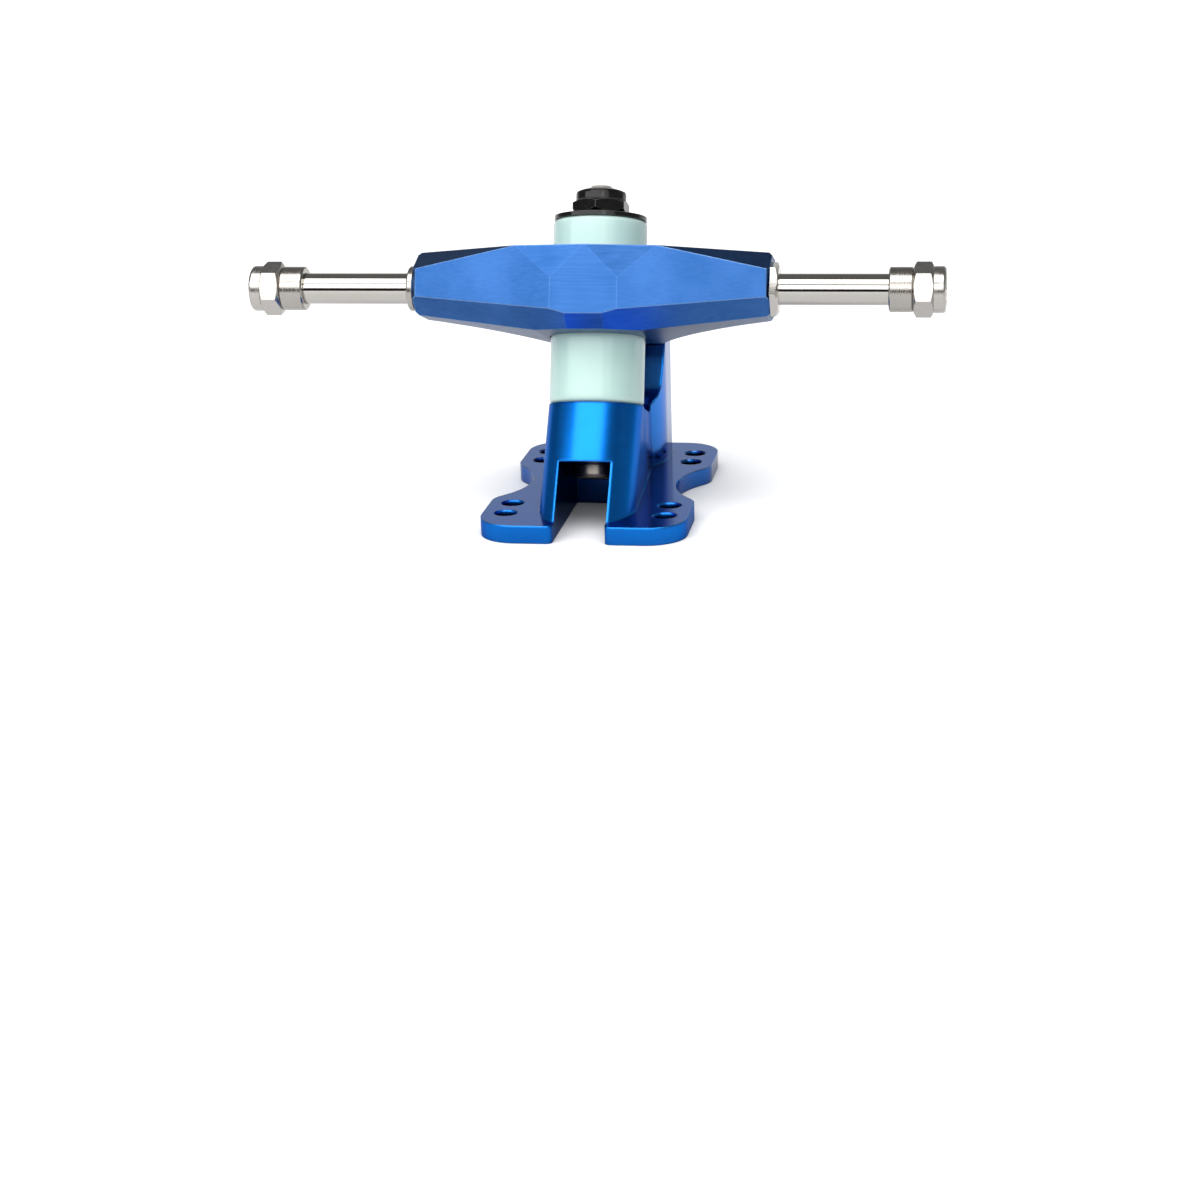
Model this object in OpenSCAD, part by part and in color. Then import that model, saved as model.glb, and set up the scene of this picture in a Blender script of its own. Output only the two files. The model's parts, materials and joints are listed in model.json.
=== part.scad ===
// Reverse-kingpin skate truck: baseplate, kingpin with two bushings, faceted hanger and wheel axle.
// Millimetres. X runs along the axle, +Y points to the pivot, Z is up, z = 0 is the mounting face.

/* [Baseplate] */
// Length of the plate, front to back
plate_l = 87.2; // [84:0.1:100]
// Width of the plate across the lobes
plate_w = 53.4; // [50:0.1:62]
// Thickness of the plate
plate_t = 4.6; // [4:0.1:7]
// Corner radius of the four lobes
lobe_corner_r = 10; // [7:0.1:11]
// Radius that eases each lobe into the waist
lobe_ease_r = 8; // [6:0.1:9]
// Width left at the waist
waist_w = 39; // [36:0.1:42]
// Radius of the hollow at each side of the waist
waist_r = 23.7; // [20:0.1:28]

/* [Mounting holes] */
// Spacing of the holes across the plate
hole_span_x = 41.275; // [40:0.005:43]
// Spacing of the outer rows, front to back
hole_span_outer = 63.5; // [62:0.05:66]
// Spacing of the inner rows, front to back
hole_span_inner = 44.45; // [42:0.05:47]
// Bore of a mounting hole
hole_d = 5.5; // [5:0.1:6]
// Bright chamfer at the rim of a mounting hole
hole_chamfer = 0.4; // [0.1:0.1:0.8]

/* [Kingpin seat] */
// Lean of the kingpin from upright, degrees
kingpin_lean = 18; // [14:0.5:22]
// Where the kingpin axis meets the top of the plate, from the middle of the plate
kingpin_foot_y = -16.2; // [-18:0.1:-14]
// Height of the tower top above the plate, along the kingpin
tower_top = 24.2; // [22:0.1:28]
// Radius of the leaning tower
tower_r = 12.4; // [11.5:0.01:13.5]
// Lean of the tower's own cylinder, degrees
tower_lean = 38; // [34:0.5:40]
// Width of the slot that takes the kingpin head
slot_w = 13.4; // [13:0.1:15]
// Height of the slot roof above the plate, along the kingpin
slot_roof = 8.5; // [7:0.1:10]
// Upright rear wall of the slot, behind the foot of the kingpin axis
slot_back = 11.5; // [9.5:0.1:16]
// Rounding of the plate's corners at the mouth of the slot
slot_mouth_r = 1.6; // [0.5:0.1:2]

/* [Pivot housing] */
// Width of the pivot housing
housing_w = 27.6; // [25:0.1:30]
// Middle of the housing's rounded front
housing_y = 25.8; // [24:0.1:28]
// Rear face of the housing
housing_back = 40.4; // [39.5:0.1:41]
// Corner radius at the rear of the housing
housing_corner_r = 6; // [3:0.1:9]
// Width of the web where it meets the housing
web_w = 20.6; // [18:0.1:23]
// Housing wall behind the kingpin axis, square to the kingpin
pivot_wall = 28.9; // [27:0.1:30]
// Cove between the housing wall and the floor of the notch
notch_cove = 9; // [5:0.1:11]

/* [Pivot] */
// Pivot axis below the axle, along the kingpin
pivot_drop = 3.5; // [2.5:0.1:5]
// Diameter of the pivot pin
pivot_pin_d = 11; // [9:0.1:12]
// Length of the pivot pin that stands in the cup
pivot_pin_out = 8; // [6:0.1:8.5]
// Length of the pivot pin held in the hanger
pivot_pin_in = 7; // [5:0.1:8]
// Chamfer at the tip of the pivot pin
pivot_tip = 1.2; // [0.5:0.1:2]
// Wall of the pivot cup
cup_wall = 2.6; // [1.5:0.1:3.5]
// Floor of the pivot cup
cup_floor = 1.5; // [1:0.1:2]
// Diameter of the pivot cup's flange
cup_flange_d = 21.4; // [19:0.1:22]
// Thickness of the pivot cup's flange
cup_flange_t = 1.6; // [1:0.1:2.5]
// Chamfer at the mouth of the pivot cup
cup_mouth = 0.8; // [0.3:0.1:1.2]

/* [Kingpin and stack] */
// Diameter of the kingpin
kingpin_d = 8; // [7:0.01:8.4]
// Diameter of the kingpin's round head
kingpin_head_d = 12.8; // [11:0.1:12.9]
// Height of the kingpin head
kingpin_head_h = 3.4; // [3:0.1:4.5]
// Chamfer round the kingpin head
kingpin_head_rim = 0.8; // [0.3:0.1:1.5]
// Across flats of the kingpin nut
kingpin_hex = 13.6; // [12.8:0.1:14.4]
// Height of the boardside bushing
boardside_h = 18.7; // [16:0.1:20]
// Height of the roadside bushing
roadside_h = 13.8; // [12:0.1:16]
// Diameter of the boardside bushing
boardside_d = 24.8; // [22:0.1:25]
// Diameter of the roadside bushing
roadside_d = 24.6; // [22:0.1:25]
// Rounding of the bushing rims
bushing_round = 1; // [0.4:0.1:2]
// Diameter of the cup washer
washer_d = 24.2; // [21:0.1:25]
// Thickness of the cup washer at its rim
washer_rim_t = 1.15; // [0.9:0.05:1.9]
// Thickness of the cup washer under the nut
washer_t = 2; // [1.9:0.1:3]
// Flat of the cup washer beyond the corners of the nut
washer_land = 0.4; // [0.2:0.1:1]
// Height of the kingpin nut's hexagon
kingpin_nut_h = 3.4; // [3:0.1:6]
// Height of the kingpin nut's collar
kingpin_collar_h = 2.4; // [2.2:0.1:4]
// Turn of the kingpin nut about its axis, degrees
kingpin_nut_turn = 58; // [0:1:59]
// Length of kingpin that stands out of the nut
kingpin_out = 1.4; // [0.4:0.1:3]
// Chamfer at the end of the kingpin
kingpin_tip = 1.4; // [0.5:0.1:2]

/* [Hanger] */
// Width of the hanger
hanger_w = 92.4; // [86:0.2:110]
// Axle ahead of the kingpin axis
axle_offset = 11; // [10.6:0.1:13]
// Hanger above the axle, along the kingpin
hanger_top = 9.5; // [9:0.1:12]
// Hanger below the axle at its middle, along the kingpin
hanger_bottom = 11.4; // [11:0.1:13]
// Hanger below the axle at its ends, along the kingpin
hanger_end_bottom = 7; // [6.5:0.1:8]
// Hanger ahead of the axle at its middle facet
hanger_front = 14.5; // [13:0.1:16]
// Hanger ahead of the axle at its ends
hanger_end_front = 6.1; // [5.6:0.1:7]
// Hanger behind the axle at its ends
hanger_end_back = 9.6; // [9:0.1:11]
// Length of the straight block at each end of the hanger
end_block_l = 5; // [3:0.1:8]
// Half width of the flat underside at the middle
under_half_w = 13.6; // [12:0.1:16]
// Half width of the middle facet
facet_half_w = 8.6; // [7:0.1:10]
// Height of the gem point above the axle
facet_apex = 1.2; // [0.5:0.1:3]
// Height above the axle where the roadside facet starts at the ends
facet_end_top = 4.4; // [3.5:0.1:6]
// Half width where the roadside facets end on the top
facet_top_half_w = 18; // [14:0.1:22]
// Depth below the axle where the lower facets start at the ends
facet_end_low = 2.75; // [2:0.05:4]
// Depth below the axle where the lower facets start at the middle
facet_mid_low = 6.8; // [6:0.1:8]
// Lower edge of the middle facet, below where its neighbours start
facet_low_step = 1.1; // [0.5:0.1:2]
// Roadside facet at the ends, behind the axle
facet_end_back = 0.9; // [0:0.1:2]
// Lower facet at the ends, ahead of the axle
facet_under_front = 0.8; // [0:0.1:2]
// Bevel at the hanger ends
end_bevel = 0.8; // [0.3:0.1:1.5]
// Lower bushing seat below the axle
seat_below = 10.4; // [9.5:0.1:10.8]
// Upper bushing seat above the axle
seat_above = 5.2; // [5:0.1:7]
// Wall behind the upper bushing seat
seat_wall = 3.5; // [2:0.1:5]
// Radius of the hollow sweep from each end to the pivot arm
sweep_r = 28.8; // [25:0.1:32]
// Diameter of the boss at the end of the pivot arm
arm_boss_d = 19.6; // [17:0.1:21]
// Length of that boss
arm_boss_l = 8; // [7.5:0.1:10]
// Length of the boss that stands out of the arm
arm_boss_out = 3; // [2:0.1:5]
// Arm below the pivot axis at its end
arm_low = 5.9; // [5:0.1:8]
// Arm above the pivot axis at its end
arm_high = 7.8; // [6.5:0.1:9]
// Lean of the hanger that the kingpin hole leaves room for, degrees
lean_room = 20; // [15:0.5:22]

/* [Axle] */
// Diameter of the axle where the wheel bearings sit
axle_d = 8; // [7:0.01:8.3]
// Diameter of the axle's core, pressed into the hanger
axle_core_d = 8.4; // [8:0.05:9]
// Mean diameter of the axle's threads
thread_d = 7.35; // [7:0.01:7.6]
// Length of thread at each end
thread_l = 13.8; // [12:0.1:18]
// Length of the axle
axle_l = 179.6; // [172:0.5:200]
// Across flats of the hexagon that is part of the axle
axle_hex = 12.6; // [11:0.1:14]
// Thickness of that hexagon
axle_hex_t = 2.1; // [1.5:0.1:3]
// Turn of that hexagon about the axle, degrees
axle_hex_turn = 18; // [0:1:59]
// Diameter of the round collar at the other end
collar_d = 11.6; // [10:0.1:13]
// Thickness of the round collar
collar_t = 1.8; // [1.2:0.1:3]
// Diameter of a spacer sleeve
spacer_d = 11.4; // [10:0.1:13]
// Length of a spacer sleeve
spacer_l = 6.1; // [4:0.1:9]
// Across flats of an axle nut
axle_nut_hex = 12.2; // [11:0.1:13.5]
// Length of an axle nut's hexagon
axle_nut_l = 5.2; // [4:0.1:7]
// Length of an axle nut's collar
axle_nut_collar_l = 3; // [2.4:0.1:4]
// Turn of each axle nut about the axle, degrees
axle_nut_turn = 27; // [0:1:59]
// Axle end inside the face of its nut
axle_end_inset = 0.5; // [0.2:0.1:1]
// Chamfer of the axle ends
axle_chamfer = 0.8; // [0.3:0.1:1.2]

/* [Lock nuts] */
// Step from the flats in to the collar
nut_collar_step = 0.2; // [0.15:0.05:0.4]
// Wall of the collar round its insert
nut_collar_wall = 0.6; // [0.5:0.05:0.8]
// Rounding and lip at the end of the collar
nut_lip = 0.9; // [0.5:0.05:1.1]

/* [Clearances] */
// Radial gap of a part that is held still on its pin
seat_gap = 0.02; // [0.01:0.01:0.05]
// Radial gap of a part that runs on its pin
running_gap = 0.05; // [0.02:0.01:0.1]
// Gap beside soft bushings and at the end of the pivot
loose_gap = 0.3; // [0.2:0.05:0.5]

/* [Hidden] */
$fn = 96;

// Heights along the kingpin axis, from the top of the plate
lower_seat_m = tower_top + boardside_h;
axle_m = lower_seat_m + seat_below;
upper_seat_m = axle_m + seat_above;
washer_m = upper_seat_m + roadside_h;
nut_m = washer_m + washer_t;
nut_top_m = nut_m + kingpin_nut_h + kingpin_collar_h;
pivot_m = axle_m - pivot_drop;

// Along the axle
hanger_half = hanger_w / 2;
nut_out_x = axle_l / 2 + axle_end_inset;
nut_in_x = nut_out_x - axle_nut_l - axle_nut_collar_l;

// Radii that follow from the fits
lower_seat_r = boardside_d / 2 + loose_gap;
upper_seat_r = roadside_d / 2 + loose_gap;
kingpin_bore_r = kingpin_d / 2 + seat_gap;
axle_bore_r = axle_core_d / 2 + seat_gap;
cup_bore_r = pivot_pin_d / 2 + running_gap;
cup_r = cup_bore_r + cup_wall;
cup_depth = pivot_pin_out + loose_gap + cup_floor;
throat_r = kingpin_d / 2 / cos(lean_room) + loose_gap;

// Lobes of the plate: ease circles touch both the straight side and the waist hollow
half_w = plate_w / 2;
half_l = plate_l / 2;
waist_x = waist_w / 2 + waist_r;
ease_x = half_w - lobe_ease_r;
ease_y = sqrt(pow(waist_r + lobe_ease_r, 2) - pow(waist_x - ease_x, 2));
touch_x = ease_x + lobe_ease_r * (waist_x - ease_x) / (waist_r + lobe_ease_r);

// Reach of the cutters, and the overlap of shapes that are joined
far = 200;
past = 1;
sliver = 0.01;
// Share of a hexagon's flats left flat on its face
hex_face = 0.94;
// Chamfer of the small turned rings
rim_chamfer = 0.35;
// Web inside the widest line of the tower, so that the two meet cleanly
web_inset = 0.05;

anodised_blue = [0.06, 0.22, 0.68];
mint = [0.78, 0.93, 0.88];
steel = [0.78, 0.79, 0.8];
satin = [0.7, 0.71, 0.73];
black_oxide = [0.06, 0.06, 0.07];
amber = [0.62, 0.36, 0.14];
nylon = [0.85, 0.86, 0.84];

// Frame of the kingpin: z along its axis from the top of the plate, y square to it towards the pivot
module at_kingpin() {
    translate([0, kingpin_foot_y, plate_t]) rotate([-kingpin_lean, 0, 0]) children();
}

// Frame of the hanger: origin at the middle of the axle
module at_axle() {
    at_kingpin() translate([0, -axle_offset, axle_m]) children();
}

// Frame of the pivot: z along the pivot axis, from the kingpin axis back into the housing
module at_pivot() {
    at_kingpin() translate([0, 0, pivot_m]) rotate([-90, 0, 0]) children();
}

module both_sides() {
    children();
    mirror([1, 0, 0]) children();
}

// Hexagon with its corners turned off at the top, and at the bottom if asked
module hex_prism(flats, h, both = false) {
    corner_r = flats / sqrt(3);
    face_r = flats / 2 * hex_face;
    turn = (corner_r - face_r) * tan(30);
    intersection() {
        rotate(30) cylinder(r = corner_r, h = h, $fn = 6);
        rotate_extrude() polygon([
            [0, 0], [both ? face_r : corner_r, 0], [corner_r, both ? turn : 0],
            [corner_r, h - turn], [face_r, h], [0, h]
        ]);
    }
}

// Ring turned on a lathe, with chamfered outer rims
module turned_ring(r_out, r_in, h, chamfer) {
    rotate_extrude() polygon([
        [r_in, 0], [r_out - chamfer, 0], [r_out, chamfer],
        [r_out, h - chamfer], [r_out - chamfer, h], [r_in, h]
    ]);
}

// Lock nut: hexagon, round collar and a groove inside the collar for its insert
module lock_nut(flats, hex_h, collar_h, pin_r) {
    collar_r = flats / 2 - nut_collar_step;
    difference() {
        union() {
            hex_prism(flats, hex_h, true);
            translate([0, 0, hex_h - sliver]) rotate_extrude() union() {
                square([collar_r - nut_lip, collar_h + sliver]);
                square([collar_r, collar_h + sliver - nut_lip]);
                translate([collar_r - nut_lip, collar_h + sliver - nut_lip]) circle(r = nut_lip);
            }
        }
        translate([0, 0, -far / 2]) cylinder(r = pin_r + seat_gap, h = far);
        translate([0, 0, hex_h]) cylinder(r = insert_r(flats), h = collar_h - nut_lip);
        translate([0, 0, hex_h]) cylinder(r = (pin_r + insert_r(flats)) / 2, h = far);
    }
}

function insert_r(flats) = flats / 2 - nut_collar_step - nut_collar_wall;

// Insert ring that fills the groove of its nut
module nut_insert(flats, hex_h, collar_h, pin_r) {
    translate([0, 0, hex_h]) difference() {
        cylinder(r = insert_r(flats) - seat_gap, h = collar_h - nut_lip - seat_gap);
        translate([0, 0, -past]) cylinder(r = pin_r + seat_gap, h = far);
    }
}

// Cuts away everything on the outer side of the plane through three corners
module trim(a, b, c) {
    n = cross(b - a, c - a) / norm(cross(b - a, c - a));
    turn_axis = norm([n.x, n.y]) < sliver ? [1, 0, 0] : cross([0, 0, 1], n);
    translate(a) rotate(a = acos(n.z), v = turn_axis)
        translate([-far, -far, 0]) cube([2 * far, 2 * far, far]);
}

module plate_outline() {
    both_sides() difference() {
        union() {
            for (s = [-1, 1]) {
                translate([0, min(s * ease_y, s * (half_l - lobe_corner_r))])
                    square([half_w, half_l - lobe_corner_r - ease_y]);
                translate([0, min(0, s * half_l)]) square([half_w - lobe_corner_r, half_l]);
                translate([half_w - lobe_corner_r, s * (half_l - lobe_corner_r)])
                    circle(r = lobe_corner_r);
                translate([ease_x, s * ease_y]) circle(r = lobe_ease_r);
            }
            translate([0, -ease_y]) square([touch_x, 2 * ease_y]);
        }
        translate([waist_x, 0]) circle(r = waist_r);
    }
}

module mounting_holes() {
    for (x = [-1, 1], span = [hole_span_outer, hole_span_inner], y = [-1, 1])
        translate([x * hole_span_x / 2, y * span / 2, 0]) {
            translate([0, 0, -past]) cylinder(d = hole_d, h = plate_t + 2 * past);
            translate([0, 0, plate_t - hole_chamfer])
                cylinder(d1 = hole_d, d2 = hole_d + 2 * hole_chamfer, h = hole_chamfer + sliver);
        }
}

// Plan of the housing: rounded front, square back with rounded corners
module housing_plan() {
    half = housing_w / 2;
    rear_r = housing_corner_r;
    translate([0, housing_y]) circle(r = half);
    translate([-half, housing_y]) square([2 * half, housing_back - housing_corner_r - housing_y]);
    translate([-half + rear_r, housing_y]) square([2 * (half - rear_r), housing_back - housing_y]);
    both_sides() translate([half - rear_r, housing_back - housing_corner_r]) circle(r = rear_r);
}

// Frame of the tower: z along its own cylinder, from the middle of its top
module at_tower() {
    at_kingpin() translate([0, 0, tower_top]) rotate([kingpin_lean - tower_lean, 0, 0]) children();
}

// Web from the sides of the tower, where it is as wide as the cylinder, back to the housing
module web() {
    foot_y = kingpin_foot_y + tower_top * sin(kingpin_lean)
        - tower_top * cos(kingpin_lean) * tan(tower_lean);
    front_half = tower_r - web_inset;
    intersection() {
        translate([0, 0, plate_t / 2]) linear_extrude(tower_top + plate_t) polygon([
            [-front_half, foot_y], [front_half, foot_y],
            [web_w / 2, housing_y], [-web_w / 2, housing_y]
        ]);
        at_tower() translate([-far / 2, 0, -far / 2]) cube([far, far, far]);
    }
}

// Leaning cylinder under the boardside bushing, down to the plate
module tower() {
    intersection() {
        at_tower() translate([0, 0, -far / 2]) cylinder(r = tower_r, h = far / 2 + tower_r);
        translate([-far / 2, -half_l, plate_t / 2]) cube([far, far, far]);
    }
}

// Housing prism with a roof rounded about the pivot axis
module housing() {
    intersection() {
        translate([0, 0, plate_t / 2]) linear_extrude(far / 2) housing_plan();
        at_kingpin() translate([0, far / 2, 0]) rotate([90, 0, 0]) linear_extrude(far) {
            translate([0, pivot_m]) circle(d = housing_w);
            translate([-housing_w / 2, pivot_m - far]) square([housing_w, far]);
        }
    }
}

// Space cleared above the tower top and ahead of the housing wall, with a cove in the corner
module notch() {
    at_kingpin() rotate([90, 0, 90]) translate([0, 0, -far / 2]) linear_extrude(far) {
        translate([pivot_wall - far, tower_top]) square([far - notch_cove, far]);
        translate([pivot_wall - far, tower_top + notch_cove]) square([far, far]);
        translate([pivot_wall - notch_cove, tower_top + notch_cove]) circle(r = notch_cove);
    }
}

// Slot for the kingpin head: roof square to the kingpin, upright walls
module head_slot() {
    intersection() {
        at_kingpin() translate([-slot_w / 2, -far, slot_roof - far]) cube([slot_w, 2 * far, far]);
        translate([-far / 2, kingpin_foot_y + slot_back - far, -far / 2]) cube([far, far, far]);
    }
}

// Rounds off the two corners of the plate at the mouth of the slot
module slot_mouth() {
    both_sides() translate([slot_w / 2, -half_l, -past]) linear_extrude(plate_t + 2 * past) difference() {
        translate([-past, -past]) square(slot_mouth_r + past);
        translate([slot_mouth_r, slot_mouth_r]) circle(r = slot_mouth_r);
    }
}

module cup_seat() {
    at_pivot() {
        translate([0, 0, pivot_wall - past]) {
            cylinder(r = cup_r + seat_gap, h = cup_depth + past + seat_gap);
            cylinder(r = cup_flange_d / 2 + seat_gap, h = cup_flange_t + past + seat_gap);
        }
    }
}

module baseplate() {
    color(anodised_blue) difference() {
        union() {
            linear_extrude(plate_t) plate_outline();
            difference() {
                union() {
                    tower();
                    web();
                    housing();
                }
                notch();
            }
        }
        head_slot();
        slot_mouth();
        at_kingpin() cylinder(r = kingpin_bore_r, h = far);
        cup_seat();
        mounting_holes();
        translate([-far / 2, -far / 2, -far]) cube([far, far, far]);
    }
}

module pivot_cup() {
    color(amber) at_pivot() translate([0, 0, pivot_wall]) difference() {
        union() {
            cylinder(r = cup_r, h = cup_depth);
            cylinder(d = cup_flange_d, h = cup_flange_t);
        }
        translate([0, 0, -past]) cylinder(r = cup_bore_r, h = cup_depth - cup_floor + past);
        translate([0, 0, -sliver]) cylinder(r1 = cup_bore_r + cup_mouth, r2 = cup_bore_r, h = cup_mouth);
    }
}

module kingpin() {
    color(steel) at_kingpin() {
        translate([0, 0, slot_roof - kingpin_head_h]) rotate_extrude() polygon([
            [0, 0], [kingpin_head_d / 2 - kingpin_head_rim, 0],
            [kingpin_head_d / 2, kingpin_head_rim], [kingpin_head_d / 2, kingpin_head_h],
            [0, kingpin_head_h]
        ]);
        translate([0, 0, slot_roof - past])
            cylinder(d = kingpin_d, h = nut_top_m + kingpin_out - kingpin_tip - slot_roof + past);
        translate([0, 0, nut_top_m + kingpin_out - kingpin_tip])
            cylinder(d1 = kingpin_d, d2 = kingpin_d - 2 * kingpin_tip, h = kingpin_tip);
    }
}

module kingpin_nut() {
    color(black_oxide) at_kingpin() translate([0, 0, nut_m]) rotate(kingpin_nut_turn)
        lock_nut(kingpin_hex, kingpin_nut_h, kingpin_collar_h, kingpin_d / 2);
}

module kingpin_nut_insert() {
    color(black_oxide) at_kingpin() translate([0, 0, nut_m])
        nut_insert(kingpin_hex, kingpin_nut_h, kingpin_collar_h, kingpin_d / 2);
}

module cup_washer() {
    crown_r = kingpin_hex / sqrt(3) + washer_land;
    color(black_oxide) at_kingpin() translate([0, 0, washer_m]) rotate_extrude() polygon([
        [kingpin_bore_r, 0], [washer_d / 2, 0], [washer_d / 2, washer_rim_t],
        [crown_r, washer_t], [kingpin_bore_r, washer_t]
    ]);
}

// Barrel of urethane with rounded rims
module bushing(d, h) {
    r = d / 2;
    bore = kingpin_d / 2 + loose_gap / 2;
    rotate_extrude() {
        translate([bore, 0]) square([r - bushing_round - bore, h]);
        translate([bore, bushing_round]) square([r - bore, h - 2 * bushing_round]);
        for (z = [bushing_round, h - bushing_round])
            translate([r - bushing_round, z]) circle(r = bushing_round);
    }
}

module boardside_bushing() {
    color(mint) at_kingpin() translate([0, 0, tower_top]) bushing(boardside_d, boardside_h);
}

module roadside_bushing() {
    color(mint) at_kingpin() translate([0, 0, upper_seat_m]) bushing(roadside_d, roadside_h);
}

// Plan of the hanger: faceted front, hollow sweeps at the back, arm to the pivot
front_slope = (hanger_front - hanger_end_front) / (hanger_half - facet_half_w);
sweep_x = hanger_half - end_block_l;
arm_end = axle_offset + pivot_wall - loose_gap;
sweep_p = hanger_end_back + sweep_r;

function front_at(x) = -hanger_front + (x - facet_half_w) * front_slope;

module hanger_plan() {
    both_sides() difference() {
        polygon([
            [0, -hanger_front], [facet_half_w, -hanger_front],
            [hanger_half - end_bevel, front_at(hanger_half - end_bevel)],
            [hanger_half, front_at(hanger_half) + end_bevel],
            [hanger_half, hanger_end_back - end_bevel], [hanger_half - end_bevel, hanger_end_back],
            [sweep_x, hanger_end_back], [sweep_x, arm_end - arm_boss_out], [0, arm_end - arm_boss_out]
        ]);
        translate([sweep_x, sweep_p]) circle(r = sweep_r);
    }
}

// Hanger seen from the front: flat top, underside rising to the ends
module hanger_face() {
    both_sides() polygon([
        [0, -hanger_bottom], [under_half_w, -hanger_bottom],
        [hanger_half - end_bevel, -hanger_end_bottom], [hanger_half, -hanger_end_bottom + end_bevel],
        [hanger_half, hanger_top - end_bevel], [hanger_half - end_bevel, hanger_top], [0, hanger_top]
    ]);
}

// Hanger seen from its end: the arm thins towards the pivot
module hanger_side() {
    polygon([
        [-hanger_front - past, -hanger_bottom], [axle_offset + lower_seat_r, -hanger_bottom],
        [arm_end, -pivot_drop - arm_low], [arm_end, -pivot_drop + arm_high],
        [axle_offset + upper_seat_r + seat_wall, hanger_top], [-hanger_front - past, hanger_top]
    ]);
}

// Corners of the gem cut, on the right half
top_corner = [facet_top_half_w, front_at(facet_top_half_w), hanger_top];
top_mid = [0, -hanger_front, hanger_top];
apex = [facet_half_w, -hanger_front, facet_apex];
end_x = hanger_half - end_bevel;
end_front = [end_x, front_at(end_x), facet_end_top];
end_top = [end_x, facet_end_back, hanger_top];
low_mid = [facet_half_w, -hanger_front, -facet_mid_low];
low_end = [end_x, front_at(end_x), -facet_end_low];
end_under = [end_x, -facet_under_front, -hanger_end_bottom];
low_flat = -facet_mid_low - facet_low_step;
under_run = (end_under.y - low_end.y) / (low_end.z - end_under.z);
under_flat = (low_flat + hanger_bottom) * under_run;

module gem_cuts() {
    both_sides() {
        trim(end_front, end_top, top_corner);
        trim(top_corner, top_mid, apex);
        trim(low_mid, end_under, low_end);
    }
    trim([0, -hanger_front, low_flat], [0, -hanger_front + under_flat, -hanger_bottom],
        [facet_half_w, -hanger_front, low_flat]);
}

// Hole for the kingpin, flared both ways from the pivot axis so that the hanger can lean
module kingpin_flare() {
    flare_h = seat_above + pivot_drop;
    translate([0, axle_offset, -pivot_drop]) {
        cylinder(r1 = throat_r, r2 = throat_r + flare_h * tan(lean_room), h = flare_h);
        mirror([0, 0, 1]) cylinder(r1 = throat_r, r2 = throat_r + flare_h * tan(lean_room), h = flare_h);
    }
}

module hanger() {
    color(anodised_blue) at_axle() difference() {
        union() {
            difference() {
                intersection() {
                    translate([0, 0, -far / 2]) linear_extrude(far) hanger_plan();
                    translate([0, far / 2, 0]) rotate([90, 0, 0]) linear_extrude(far) hanger_face();
                    rotate([90, 0, 90]) translate([0, 0, -far / 2]) linear_extrude(far) hanger_side();
                }
                gem_cuts();
            }
            translate([0, arm_end, -pivot_drop]) rotate([90, 0, 0])
                cylinder(d = arm_boss_d, h = arm_boss_l);
        }
        translate([0, axle_offset, seat_above]) cylinder(r = upper_seat_r, h = far);
        translate([0, axle_offset, -seat_below - far]) cylinder(r = lower_seat_r, h = far);
        kingpin_flare();
        translate([-far / 2, 0, 0]) rotate([0, 90, 0]) cylinder(r = axle_bore_r, h = far);
        translate([0, arm_end - pivot_pin_in, -pivot_drop]) rotate([-90, 0, 0])
            cylinder(d = pivot_pin_d + 2 * seat_gap, h = far);
    }
}

module pivot_pin() {
    color(steel) at_pivot() translate([0, 0, pivot_wall - loose_gap - pivot_pin_in]) {
        cylinder(d = pivot_pin_d, h = pivot_pin_in + pivot_pin_out - pivot_tip);
        translate([0, 0, pivot_pin_in + pivot_pin_out - pivot_tip])
            cylinder(d1 = pivot_pin_d, d2 = pivot_pin_d - 2 * pivot_tip, h = pivot_tip);
    }
}

// Frame of one axle end, z outwards: side is -1 on the left and 1 on the right
module axle_end(side) {
    at_axle() rotate([0, 0, side > 0 ? 0 : 180]) rotate([0, 90, 0]) children();
}

// Half of the axle's turned profile, from the middle out to one end
module axle_half(core_l) {
    end = axle_l / 2;
    rotate_extrude() polygon([
        [0, 0], [axle_core_d / 2, 0], [axle_core_d / 2, core_l], [axle_d / 2, core_l],
        [axle_d / 2, end - thread_l], [thread_d / 2, end - thread_l],
        [thread_d / 2, end - axle_chamfer], [thread_d / 2 - axle_chamfer, end], [0, end]
    ]);
}

module axle() {
    color(steel) {
        axle_end(1) axle_half(hanger_half + axle_hex_t);
        axle_end(-1) axle_half(hanger_half + collar_t);
        axle_end(1) translate([0, 0, hanger_half]) rotate(axle_hex_turn) hex_prism(axle_hex, axle_hex_t);
    }
}

module axle_collar() {
    color(satin) axle_end(-1) translate([0, 0, hanger_half])
        turned_ring(collar_d / 2, axle_core_d / 2 + seat_gap, collar_t, rim_chamfer);
}

module spacer(side) {
    color(satin) axle_end(side) translate([0, 0, nut_in_x - spacer_l])
        turned_ring(spacer_d / 2, axle_d / 2 + running_gap, spacer_l, rim_chamfer);
}

module axle_nut(side) {
    color(satin) axle_end(side) translate([0, 0, nut_in_x]) rotate(-side * axle_nut_turn)
        lock_nut(axle_nut_hex, axle_nut_l, axle_nut_collar_l, thread_d / 2);
}

module axle_nut_insert(side) {
    color(nylon) axle_end(side) translate([0, 0, nut_in_x])
        nut_insert(axle_nut_hex, axle_nut_l, axle_nut_collar_l, thread_d / 2);
}

baseplate();
pivot_cup();
kingpin();
kingpin_nut();
kingpin_nut_insert();
cup_washer();
boardside_bushing();
roadside_bushing();
hanger();
pivot_pin();
axle();
axle_collar();
spacer(-1);  // left_spacer
spacer(1);  // right_spacer
axle_nut(-1);  // left_axle_nut
axle_nut(1);  // right_axle_nut
axle_nut_insert(-1);  // left_nut_insert
axle_nut_insert(1);  // right_nut_insert
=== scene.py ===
import json
import math

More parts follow.
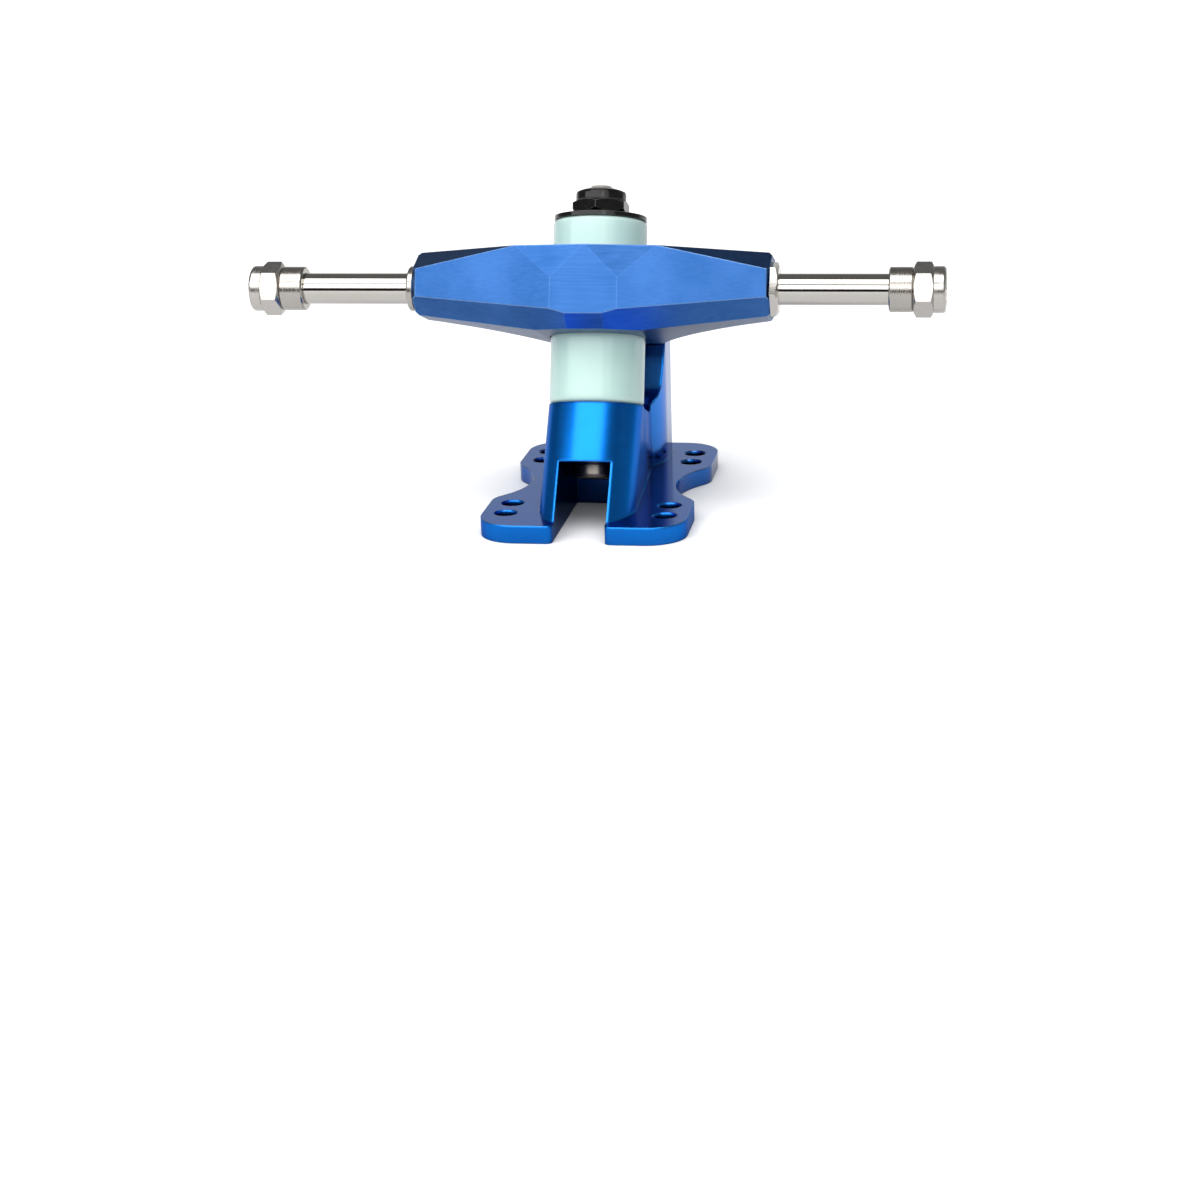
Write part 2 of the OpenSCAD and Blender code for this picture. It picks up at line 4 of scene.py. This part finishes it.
import bmesh
import bpy
from mathutils import Matrix, Vector


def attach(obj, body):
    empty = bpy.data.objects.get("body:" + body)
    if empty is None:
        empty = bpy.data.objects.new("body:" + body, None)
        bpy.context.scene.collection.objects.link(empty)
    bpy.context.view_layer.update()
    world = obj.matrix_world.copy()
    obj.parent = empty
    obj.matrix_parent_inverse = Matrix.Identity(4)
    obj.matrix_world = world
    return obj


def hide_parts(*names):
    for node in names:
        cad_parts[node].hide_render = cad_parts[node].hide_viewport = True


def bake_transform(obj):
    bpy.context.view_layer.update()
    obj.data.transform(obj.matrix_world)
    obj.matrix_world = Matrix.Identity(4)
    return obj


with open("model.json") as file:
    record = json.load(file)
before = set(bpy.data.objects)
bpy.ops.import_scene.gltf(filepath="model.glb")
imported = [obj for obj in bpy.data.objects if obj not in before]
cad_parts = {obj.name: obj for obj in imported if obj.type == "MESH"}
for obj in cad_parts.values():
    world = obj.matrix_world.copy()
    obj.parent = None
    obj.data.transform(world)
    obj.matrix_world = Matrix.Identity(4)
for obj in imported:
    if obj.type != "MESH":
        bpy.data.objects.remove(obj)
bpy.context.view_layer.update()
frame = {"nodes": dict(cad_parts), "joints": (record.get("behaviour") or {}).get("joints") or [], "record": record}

# Photograph's frame and the camera fitted to the mounting holes, the hanger's corners and the axle
IMAGE_W = 1200
FOCAL_PX = 2422.0
SENSOR_MM = 36.0
VIEW_AZIMUTH = 9.644
VIEW_ELEVATION = 17.785
VIEW_ROLL = -1.687
VIEW_AIM = Vector((-0.0004, -0.0101, -0.0252))
VIEW_DISTANCE = 0.6493

# Lean of the hanger: its axis crosses the kingpin's, and both stand in the plane x = 0
lean = next(j for j in frame["joints"] if j["name"] == "hanger_lean")
pivot = Vector(lean["pos_m"])
pivot_axis = Vector(lean["axis"])
kingpin_axis = Vector((0.0, -pivot_axis.z, pivot_axis.y))
mounts = {m["name"]: m for m in frame["record"]["mounts"]}
axle_centre = Vector(mounts["right_wheel_seat"]["pos_m"])
axle_centre.x = 0.0

# Ranges over which a finish or painted shade changes: height above the plate's top, depth at the front of the
# pivot housing, and height from the kingpin's shank, darkened with painted shade, to its cut end
PLATE_TOP = (0.0046, 0.0062)
HOUSING_FRONT = (0.0, 0.008)
KINGPIN_SHADE_TO_CUT = (0.03, 0.07)

# Bushing barrels: rounding of the rims and room left round each
RING_STEPS = 96
BUSHING_RIM = 0.0011
BUSHING_ROOM = 0.00003

# Rolled rim of the kingpin nut: radius of its foot, depth below and height above the nut's top, swell of its
# outside, and room left round the kingpin
KINGPIN_RADIUS = 0.004
CROWN_FOOT = 0.00638
CROWN_SINK = 0.0002
CROWN_RISE = 0.0008
CROWN_SWELL = 0.00012
CROWN_ROOM = 0.00003

# Axle threads: pitch, radii of crest and foot, half width of a ridge, and ends along the axle
THREAD_PITCH = 0.001
THREAD_CREST = 0.00394
THREAD_FOOT = 0.0036
THREAD_HALF = THREAD_PITCH * 0.46
THREAD_START = 0.0764
THREAD_END = 0.0888
THREAD_STEPS = 28

# Stage: floor, and the point that the lamps aim at from a distance
FLOOR_RADIUS = 9.0
FLOOR_DROP = 0.0001
LAMP_AIM = Vector((0.0, 0.0, 0.04))
LAMP_DISTANCE = 1.0


# Node helpers

def new_material(name):
    material = bpy.data.materials.new(name)
    material.use_nodes = True
    tree = material.node_tree
    tree.nodes.clear()
    output = tree.nodes.new("ShaderNodeOutputMaterial")
    shader = tree.nodes.new("ShaderNodeBsdfPrincipled")
    tree.links.new(shader.outputs["BSDF"], output.inputs["Surface"])
    return material, tree, shader


def is_socket(value):
    return isinstance(value, bpy.types.NodeSocket)


def feed(tree, socket, value):
    """Link an input to another socket, or set it to a value."""
    if is_socket(value):
        tree.links.new(value, socket)
    else:
        socket.default_value = value


def node(tree, kind, settings=None, **inputs):
    """A node with its settings, and its named inputs set to values or linked to sockets."""
    made = tree.nodes.new(kind)
    for key, value in (settings or {}).items():
        setattr(made, key, value)
    for key, value in inputs.items():
        feed(tree, made.inputs[key], value)
    return made


def calc(tree, operation, *terms):
    """Result of one operation on values or sockets."""
    made = node(tree, "ShaderNodeMath", {"operation": operation})
    for socket, term in zip(made.inputs, terms):
        feed(tree, socket, term)
    return made.outputs["Value"]


def remap(tree, value, result, source=(0.3, 0.7)):
    """Smooth step through the result's range, as a value goes through the source's range."""
    made = node(tree, "ShaderNodeMapRange", {"interpolation_type": "SMOOTHSTEP"}, Value=value)
    made.inputs["From Min"].default_value, made.inputs["From Max"].default_value = source
    made.inputs["To Min"].default_value, made.inputs["To Max"].default_value = result
    return made.outputs["Result"]


def mix_value(tree, factor, first, second):
    made = tree.nodes.new("ShaderNodeMix")
    for index, value in ((0, factor), (2, first), (3, second)):
        feed(tree, made.inputs[index], value)
    return made.outputs[0]


def mix_colour(tree, factor, first, second):
    """Mix of two colours, each a socket or its red, green and blue."""
    made = node(tree, "ShaderNodeMix", {"data_type": "RGBA"})
    feed(tree, made.inputs[0], factor)
    for index, colour in ((6, first), (7, second)):
        feed(tree, made.inputs[index], colour if is_socket(colour) else (*colour, 1.0))
    return made.outputs[2]


def object_coords(tree):
    return tree.nodes.new("ShaderNodeTexCoord").outputs["Object"]


def surface_normal(tree):
    return tree.nodes.new("ShaderNodeNewGeometry").outputs["Normal"]


def axes_of(tree, vector):
    """X, Y and Z of a vector, by name."""
    return node(tree, "ShaderNodeSeparateXYZ", Vector=vector).outputs


def noise(tree, scale, detail=3.0, rough=0.55):
    """Noise from 0 to 1, whose scale for each axis is in cells per metre."""
    placed = node(tree, "ShaderNodeMapping", Vector=object_coords(tree), Scale=scale).outputs["Vector"]
    made = node(tree, "ShaderNodeTexNoise", Vector=placed, Scale=1.0, Detail=detail, Roughness=rough)
    return made.outputs["Fac"]


def round_edges(tree, radius):
    """Normal that turns over each edge within a small radius."""
    return node(tree, "ShaderNodeBevel", {"samples": 6}, Radius=radius).outputs["Normal"]


def edge_mask(tree, normal, width):
    """0 on the flats, rising to 1 on the edges that the rounded normal turns over."""
    dot = node(tree, "ShaderNodeVectorMath", {"operation": "DOT_PRODUCT"})
    feed(tree, dot.inputs[0], normal)
    feed(tree, dot.inputs[1], surface_normal(tree))
    return remap(tree, dot.outputs["Value"], (1.0, 0.0), (1.0 - width, 1.0))


def bump(tree, height, normal, strength, depth):
    made = node(tree, "ShaderNodeBump", Height=height, Normal=normal, Strength=strength, Distance=depth)
    return made.outputs["Normal"]


def open_share(tree, distance, samples):
    """1 in the open, less where faces within a distance stand round a point."""
    return node(tree, "ShaderNodeAmbientOcclusion", {"samples": samples}, Distance=distance).outputs["AO"]


def painted_recess_shade(tree, colour, depth):
    """Painted shade: colour darkened in recesses narrower than a depth, where less light reaches."""
    deep = node(tree, "ShaderNodeMixRGB", {"blend_type": "MULTIPLY"}, Fac=1.0, Color1=colour,
                Color2=(0.12, 0.12, 0.16, 1.0))
    in_open = remap(tree, open_share(tree, depth, samples=8), (0.0, 1.0), (0.25, 0.7))
    return mix_colour(tree, in_open, deep.outputs["Color"], colour)


# Materials

def polished_faces(tree):
    """1 on the top of the plate and on the pivot housing, 0 on the tower and the plate's walls."""
    place = axes_of(tree, object_coords(tree))
    facing = axes_of(tree, surface_normal(tree))
    low = remap(tree, place["Z"], (1.0, 0.0), PLATE_TOP)
    level = remap(tree, facing["Z"], (0.0, 1.0), (0.6, 0.9))
    housing = remap(tree, place["Y"], (0.0, 1.0), HOUSING_FRONT)
    return calc(tree, "MAXIMUM", calc(tree, "MULTIPLY", low, level), housing)


def blue_anodising(name, shades, rough, lines, coat, edge, recess, glance, polish=None):
    """Dyed oxide over machined aluminium: tool lines, a faint drift of shade, and edges painted paler, partly as
    broken-edge wear and partly as painted highlight.

    shades: deep and light colour; rough: low and high roughness; lines: scale and strength;
    coat: weight and roughness; edge: radius, width of the mask and colour of the edges, painted paler as wear
    and as highlight; recess: depth of the recesses darkened with painted shade; glance: tint of what is mirrored
    at a low angle; polish: drop of roughness and weight of the coat on the polished faces.
    """
    material, tree, shader = new_material(name)
    line_scale, line_strength = lines
    coat_weight, coat_rough = coat
    edge_radius, edge_width, edge_colour = edge
    rounded = round_edges(tree, edge_radius)
    grain = noise(tree, line_scale, detail=4.0, rough=0.6)
    cloud = noise(tree, (60, 60, 60), detail=2.0)
    drift = calc(tree, "ADD", remap(tree, cloud, (0.0, 0.5)), remap(tree, grain, (0.0, 0.5)))
    shade = mix_colour(tree, drift, *shades)
    # Edges painted paler: partly broken-edge wear, partly painted highlight
    worn_and_highlit = mix_colour(tree, edge_mask(tree, rounded, edge_width), shade, edge_colour)
    # Painted shade darkens this base colour in recesses
    tree.links.new(painted_recess_shade(tree, worn_and_highlit, recess), shader.inputs["Base Color"])
    roughness = remap(tree, grain, rough)
    shader.inputs["Coat Weight"].default_value = coat_weight
    if polish:
        drop, polished_weight = polish
        smooth = polished_faces(tree)
        roughness = calc(tree, "MULTIPLY_ADD", smooth, -drop, roughness)
        weight = remap(tree, smooth, (coat_weight, polished_weight), (0.0, 1.0))
        tree.links.new(weight, shader.inputs["Coat Weight"])
    tree.links.new(roughness, shader.inputs["Roughness"])
    tree.links.new(bump(tree, grain, rounded, line_strength, depth=0.00002), shader.inputs["Normal"])
    shader.inputs["Metallic"].default_value = 1.0
    shader.inputs["Specular Tint"].default_value = (*glance, 1.0)
    shader.inputs["Coat IOR"].default_value = 1.5
    shader.inputs["Coat Roughness"].default_value = coat_rough
    return material


def steel(name, colour, rough, lines):
    """Steel with a faint warm stain and the fine lines that turning or polishing leaves."""
    material, tree, shader = new_material(name)
    line_scale, line_strength = lines
    rounded = round_edges(tree, 0.0002)
    grain = noise(tree, line_scale, detail=3.0, rough=0.6)
    stain = noise(tree, (140, 140, 140), detail=3.0)
    warm = tuple(c * k for c, k in zip(colour, (0.93, 0.9, 0.86)))
    tree.links.new(mix_colour(tree, stain, colour, warm), shader.inputs["Base Color"])
    tree.links.new(remap(tree, grain, rough), shader.inputs["Roughness"])
    tree.links.new(bump(tree, grain, rounded, line_strength, depth=0.00001), shader.inputs["Normal"])
    shader.inputs["Metallic"].default_value = 1.0
    return material


def kingpin_steel(name):
    """Plated steel, darkened at the head and shank with painted shade, pale and rough where the threaded end is
    cut.
    """
    material, tree, shader = new_material(name)
    rounded = round_edges(tree, 0.0003)
    grain = noise(tree, (1400, 1400, 1400), detail=4.0)
    cut = remap(tree, axes_of(tree, object_coords(tree))["Z"], (0.0, 1.0), KINGPIN_SHADE_TO_CUT)
    # Painted shade: dark head and shank; the cut end keeps pale bare steel
    colour = mix_colour(tree, cut, (0.26, 0.235, 0.21), (0.85, 0.8, 0.76))
    tree.links.new(colour, shader.inputs["Base Color"])
    tree.links.new(remap(tree, cut, (0.3, 0.5), (0.0, 1.0)), shader.inputs["Roughness"])
    tree.links.new(bump(tree, grain, rounded, strength=0.35, depth=0.00004), shader.inputs["Normal"])
    shader.inputs["Metallic"].default_value = 1.0
    return material


def black_finish(name, rough, edge_colour, shine):
    """Blackened steel or black nylon, its edges painted paler, partly as rubbed wear and partly as painted
    highlight.
    """
    material, tree, shader = new_material(name)
    rounded = round_edges(tree, 0.00025)
    grain = noise(tree, (900, 900, 900), detail=3.0)
    shade = mix_colour(tree, grain, (0.003, 0.003, 0.0032), (0.007, 0.007, 0.0072))
    # Edges painted paler: partly rubbed wear, partly painted highlight
    worn_and_highlit = mix_colour(tree, edge_mask(tree, rounded, width=0.3), shade, edge_colour)
    tree.links.new(worn_and_highlit, shader.inputs["Base Color"])
    tree.links.new(remap(tree, grain, rough), shader.inputs["Roughness"])
    tree.links.new(bump(tree, grain, rounded, strength=0.15, depth=0.00002), shader.inputs["Normal"])
    shader.inputs["Specular IOR Level"].default_value = shine
    return material


def urethane(name, shades, rough, see_through):
    """Cast urethane: cloudy, slightly see-through, with a faint mould skin."""
    material, tree, shader = new_material(name)
    rounded = round_edges(tree, 0.0004)
    cloud = noise(tree, (90, 90, 90), detail=3.0)
    skin = noise(tree, (2200, 2200, 2200), detail=2.0)
    tree.links.new(mix_colour(tree, cloud, *shades), shader.inputs["Base Color"])
    tree.links.new(remap(tree, skin, rough), shader.inputs["Roughness"])
    tree.links.new(bump(tree, skin, rounded, strength=0.06, depth=0.00002), shader.inputs["Normal"])
    shader.inputs["Subsurface Weight"].default_value = 0.6
    shader.inputs["Subsurface Radius"].default_value = (1.0, 1.0, 1.0)
    shader.inputs["Subsurface Scale"].default_value = see_through
    return material


def pale_nylon(name):
    material, tree, shader = new_material(name)
    grain = noise(tree, (1500, 1500, 1500), detail=2.0)
    colour = mix_colour(tree, grain, (0.6, 0.61, 0.6), (0.72, 0.73, 0.71))
    tree.links.new(colour, shader.inputs["Base Color"])
    tree.links.new(remap(tree, grain, (0.4, 0.5)), shader.inputs["Roughness"])
    return material


# Lines run along the axle on the hanger, round the axle on turned steel, and level on the baseplate
along_x = (60, 1900, 1900)
round_x = (3200, 40, 40)
level = (90, 90, 3600)
all_ways = (700, 700, 700)
finishes = {
    "bright_blue": blue_anodising(
        "bright_blue", shades=((0.0033, 0.184, 0.72), (0.0056, 0.222, 0.81)), rough=(0.31, 0.34),
        lines=(level, 0.01), coat=(0.12, 0.14), edge=(0.001, 0.25, (0.03, 0.3, 0.85)), recess=0.022,
        glance=(0.3, 0.4, 0.55), polish=(0.18, 0.85),
    ),
    "satin_blue": blue_anodising(
        "satin_blue", shades=((0.02, 0.092, 0.29), (0.046, 0.148, 0.42)), rough=(0.29, 0.37),
        lines=(along_x, 0.35), coat=(0.08, 0.34), edge=(0.0004, 0.02, (0.2, 0.36, 0.68)), recess=0.006,
        glance=(0.8, 0.77, 0.68),
    ),
    "polished_steel": steel(
        "polished_steel", (0.62, 0.605, 0.58), rough=(0.04, 0.08), lines=(along_x, 0.02),
    ),
    "turned_steel": steel(
        "turned_steel", (0.5, 0.48, 0.455), rough=(0.2, 0.3), lines=(round_x, 0.04),
    ),
    "tumbled_steel": steel(
        "tumbled_steel", (0.6, 0.585, 0.565), rough=(0.2, 0.3), lines=(all_ways, 0.03),
    ),
    "kingpin_steel": kingpin_steel("kingpin_steel"),
    "black_steel": black_finish(
        "black_steel", rough=(0.08, 0.15), edge_colour=(0.25, 0.25, 0.25), shine=0.38,
    ),
    "black_nylon": black_finish(
        "black_nylon", rough=(0.35, 0.5), edge_colour=(0.03, 0.03, 0.03), shine=0.25,
    ),
    "mint_urethane": urethane(
        "mint_urethane", shades=((0.57, 0.795, 0.73), (0.62, 0.835, 0.77)), rough=(0.1, 0.15),
        see_through=0.003,
    ),
    "amber_urethane": urethane(
        "amber_urethane", shades=((0.3, 0.13, 0.035), (0.4, 0.19, 0.06)), rough=(0.3, 0.4),
        see_through=0.002,
    ),
    "pale_nylon": pale_nylon("pale_nylon"),
}
node_finish = {
    "baseplate": "bright_blue", "hanger": "satin_blue", "pivot_cup": "amber_urethane",
    "kingpin": "kingpin_steel", "pivot_pin": "polished_steel", "axle": "polished_steel",
    "axle_collar": "turned_steel", "left_spacer": "turned_steel", "right_spacer": "turned_steel",
    "left_axle_nut": "tumbled_steel", "right_axle_nut": "tumbled_steel",
    "left_nut_insert": "pale_nylon", "right_nut_insert": "pale_nylon",
    "kingpin_nut": "black_steel", "cup_washer": "black_steel", "kingpin_nut_insert": "black_nylon",
}
for name, finish in node_finish.items():
    frame["nodes"][name].data.materials.clear()
    frame["nodes"][name].data.materials.append(finishes[finish])


# Bushing barrels, the kingpin nut's rim and the axle's threads

def add_object(name, shape):
    """Object in the scene that takes over a shape."""
    mesh = bpy.data.meshes.new(name)
    shape.to_mesh(mesh)
    shape.free()
    made = bpy.data.objects.new(name, mesh)
    bpy.context.scene.collection.objects.link(made)
    return made


def mesh_piece(name, shape, finish, smooth=True):
    piece = add_object(name, shape)
    mesh = piece.data
    mesh.polygons.foreach_set("use_smooth", [smooth] * len(mesh.polygons))
    mesh.materials.append(finishes[finish])
    return piece


def reach(name):
    """Of a CAD node: lowest and highest place along the kingpin, largest and smallest radius round it."""
    points = [v.co - pivot for v in frame["nodes"][name].data.vertices]
    heights = [p.dot(kingpin_axis) for p in points]
    radii = [(p - kingpin_axis * h).length for p, h in zip(points, heights)]
    return min(heights), max(heights), max(radii), min(radii)


def ring_on_kingpin(profile):
    """Ring turned round the kingpin from a closed profile of radii and of heights above the pivot."""
    shape = bmesh.new()
    rings = []
    for i in range(RING_STEPS):
        turn = 2 * math.pi * i / RING_STEPS
        rings.append([shape.verts.new((r * math.cos(turn), r * math.sin(turn), z)) for r, z in profile])
    for i, ring in enumerate(rings):
        after = rings[(i + 1) % RING_STEPS]
        for j in range(len(profile)):
            k = (j + 1) % len(profile)
            shape.faces.new((ring[j], after[j], after[k], ring[k]))
    bmesh.ops.recalc_face_normals(shape, faces=shape.faces)
    stand = Matrix((Vector((1, 0, 0)), pivot_axis, kingpin_axis)).transposed().to_4x4()
    shape.transform(Matrix.Translation(pivot) @ stand)
    return shape


def bushing(name, rows=20, rim_steps=5):
    """Barrel with rounded rims, in many rows along its height."""
    low, high, radius, bore = reach(name)
    bottom = low + BUSHING_ROOM
    top = high - BUSHING_ROOM
    outer = radius - BUSHING_ROOM
    rim_centre = outer - BUSHING_RIM
    quarter = [math.pi / 2 * i / rim_steps for i in range(rim_steps + 1)]
    profile = [(bore, top), (bore, bottom)]
    for a in quarter:
        profile.append((
            rim_centre + BUSHING_RIM * math.sin(a),
            bottom + BUSHING_RIM - BUSHING_RIM * math.cos(a),
        ))
    for i in range(1, rows):
        profile.append((outer, low + BUSHING_RIM + (high - low - 2 * BUSHING_RIM) * i / rows))
    for a in quarter:
        profile.append((
            rim_centre + BUSHING_RIM * math.cos(a),
            top - BUSHING_RIM + BUSHING_RIM * math.sin(a),
        ))
    barrel = name.replace("bushing", "barrel")
    piece = mesh_piece(barrel, ring_on_kingpin(profile), "mint_urethane")
    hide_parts(name)
    return piece


boardside = bushing("boardside_bushing")
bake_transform(boardside)
roadside = bushing("roadside_bushing")
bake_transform(roadside)


def nut_crown(steps=8):
    """Rolled rim that closes the kingpin nut's collar round the chamfered end of the kingpin."""
    nut_top = reach("kingpin_nut")[1]
    bottom = nut_top - CROWN_SINK
    inside = KINGPIN_RADIUS + CROWN_ROOM
    mouth = inside - CROWN_RISE
    profile = [(inside, nut_top), (inside, bottom)]
    for i in range(steps + 1):
        t = i / steps
        height = (CROWN_RISE + CROWN_SINK) * t + CROWN_SWELL * 4 * t * (1 - t)
        profile.append((CROWN_FOOT + (mouth - CROWN_FOOT) * t, bottom + height))
    piece = mesh_piece("kingpin_nut_crown", ring_on_kingpin(profile), "black_steel")
    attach(piece, "base")


nut_crown()


def axle_thread(name, side):
    """Helical ridge wound on one threaded end of the axle."""
    count = int((THREAD_END - THREAD_START) / THREAD_PITCH * THREAD_STEPS)
    shape = bmesh.new()
    sections = []
    for i in range(count + 1):
        turn = 2 * math.pi * i / THREAD_STEPS
        across = math.cos(turn)
        up = math.sin(turn)
        x = THREAD_START + THREAD_PITCH * i / THREAD_STEPS
        corners = ((x - THREAD_HALF, THREAD_FOOT), (x, THREAD_CREST), (x + THREAD_HALF, THREAD_FOOT))
        sections.append([
            shape.verts.new((side * along, axle_centre.y + r * across, axle_centre.z + r * up))
            for along, r in corners
        ])
    for first, second in zip(sections, sections[1:]):
        for j in range(3):
            k = (j + 1) % 3
            shape.faces.new((first[j], first[k], second[k], second[j]))
    shape.faces.new(sections[0])
    shape.faces.new(sections[-1][::-1])
    bmesh.ops.recalc_face_normals(shape, faces=shape.faces)
    piece = mesh_piece(name, shape, "polished_steel", smooth=False)
    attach(piece, "hanger_group")


axle_thread("right_axle_thread", 1)
axle_thread("left_axle_thread", -1)


# Stage: floor, the room that the metal mirrors, soft light and camera

def floor_paper():
    """Pale paper: white to the camera away from the part, with painted shadow near the part; to metal, a painted
    dark sheet far in front and painted pale light behind.
    """
    material, tree, shader = new_material("floor_paper")
    front_edge = (-0.6, -0.4)
    part_back = (0.02, 0.12)
    whitening = (0.12, 0.8)
    grain = noise(tree, (400, 400, 400), detail=2.0)
    coords = object_coords(tree)
    depth = axes_of(tree, coords)["Y"]
    path = tree.nodes.new("ShaderNodeLightPath").outputs
    # Painted dark reflection: far in front, the floor turns near black to glossy rays only
    painted_dark_front = calc(tree, "MULTIPLY", remap(tree, depth, (1.0, 0.0), front_edge), path["Is Glossy Ray"])
    sheet = mix_colour(tree, grain, (0.76, 0.76, 0.77), (0.78, 0.78, 0.785))
    tree.links.new(mix_colour(tree, painted_dark_front, sheet, (0.04, 0.04, 0.04)), shader.inputs["Base Color"])
    # Painted pale reflection: glossy rays see more lift behind the part than in front
    mirrored = calc(tree, "MAXIMUM", path["Is Glossy Ray"], path["Is Transmission Ray"])
    mirrored = calc(tree, "MULTIPLY", mirrored, remap(tree, depth, (0.15, 0.7), part_back))
    seen = calc(tree, "ADD", path["Is Camera Ray"], mirrored)
    away = node(tree, "ShaderNodeVectorMath", {"operation": "LENGTH"}, Vector=coords).outputs["Value"]
    # Painted shadow: the floor's lift fades where the part stands near it
    in_open = calc(tree, "POWER", open_share(tree, 0.05, samples=16), 1.5)
    lift = calc(tree, "MULTIPLY", remap(tree, away, (0.58, 1.0), whitening), in_open)
    lift = calc(tree, "MULTIPLY", seen, lift)
    lift = calc(tree, "MULTIPLY", lift, calc(tree, "SUBTRACT", 1.0, painted_dark_front))
    tree.links.new(lift, shader.inputs["Emission Strength"])
    shader.inputs["Emission Color"].default_value = (1.0, 1.0, 1.0, 1.0)
    shader.inputs["Roughness"].default_value = 0.9
    shader.inputs["Specular IOR Level"].default_value = 0.1
    return material


def floor():
    shape = bmesh.new()
    bmesh.ops.create_circle(shape, cap_ends=True, segments=RING_STEPS, radius=FLOOR_RADIUS)
    obj = add_object("floor", shape)
    obj.location.z = -FLOOR_DROP
    obj.data.materials.append(floor_paper())


def room():
    """World: dim, paler low down behind and slightly on the right, dark low in front, white to the camera."""
    world = bpy.data.worlds.new("room")
    bpy.context.scene.world = world
    world.use_nodes = True
    tree = world.node_tree
    tree.nodes.clear()
    output = tree.nodes.new("ShaderNodeOutputWorld")
    background = tree.nodes.new("ShaderNodeBackground")
    tree.links.new(background.outputs["Background"], output.inputs["Surface"])
    facing = axes_of(tree, tree.nodes.new("ShaderNodeTexCoord").outputs["Generated"])
    low = remap(tree, facing["Z"], (1.0, 0.0), (0.25, 0.55))
    behind = remap(tree, facing["Y"], (0.0, 0.42), (0.55, 0.9))
    right = remap(tree, facing["X"], (0.0, 0.1), (0.1, 0.6))
    pale = calc(tree, "MULTIPLY_ADD", calc(tree, "MAXIMUM", behind, right), low, 0.15)
    front = remap(tree, facing["Y"], (1.0, 0.0), (-0.75, -0.3))
    near_floor = remap(tree, facing["Z"], (1.0, 0.0), (0.14, 0.2))
    shade = mix_value(tree, calc(tree, "MULTIPLY", front, near_floor), pale, 0.02)
    path = tree.nodes.new("ShaderNodeLightPath").outputs
    tree.links.new(mix_value(tree, path["Is Camera Ray"], shade, 1.0), background.inputs["Strength"])
    background.inputs["Color"].default_value = (1.0, 1.0, 1.0, 1.0)


def outward(azimuth, elevation):
    """Direction away from the part; azimuth 0 is in front, positive to the right."""
    a = math.radians(azimuth)
    e = math.radians(elevation)
    return Vector((math.sin(a) * math.cos(e), -math.cos(a) * math.cos(e), math.sin(e)))


def soft_light(name, azimuth, elevation, width, height, power):
    """Rectangular soft box aimed at the middle of the part."""
    lamp = bpy.data.lights.new(name, "AREA")
    lamp.shape = "RECTANGLE"
    lamp.size = width
    lamp.size_y = height
    lamp.energy = power
    obj = bpy.data.objects.new(name, lamp)
    bpy.context.scene.collection.objects.link(obj)
    back = outward(azimuth, elevation)
    obj.location = LAMP_AIM + back * LAMP_DISTANCE
    obj.rotation_euler = back.to_track_quat("Z", "Y").to_euler()
    obj.visible_camera = False


def camera():
    data = bpy.data.cameras.new("camera")
    data.sensor_fit = "HORIZONTAL"
    data.sensor_width = SENSOR_MM
    data.lens = SENSOR_MM * FOCAL_PX / IMAGE_W
    data.clip_start = 0.01
    obj = bpy.data.objects.new("camera", data)
    bpy.context.scene.collection.objects.link(obj)
    back = outward(VIEW_AZIMUTH, VIEW_ELEVATION)
    right = outward(VIEW_AZIMUTH + 90.0, 0.0)
    up = back.cross(right)
    roll = math.radians(VIEW_ROLL)
    turn = Matrix((
        right * math.cos(roll) + up * math.sin(roll),
        up * math.cos(roll) - right * math.sin(roll),
        back,
    )).transposed()
    obj.matrix_world = Matrix.Translation(VIEW_AIM + back * VIEW_DISTANCE) @ turn.to_4x4()
    bpy.context.scene.camera = obj


floor()
room()
soft_light("overhead", azimuth=-10, elevation=68, width=1.3, height=0.66, power=8.4)
soft_light("front", azimuth=-27, elevation=29.5, width=1.9, height=0.52, power=7.8)
soft_light("fill", azimuth=31, elevation=25, width=0.5, height=0.5, power=1.1)
camera()
bpy.context.scene.view_settings.view_transform = "Standard"
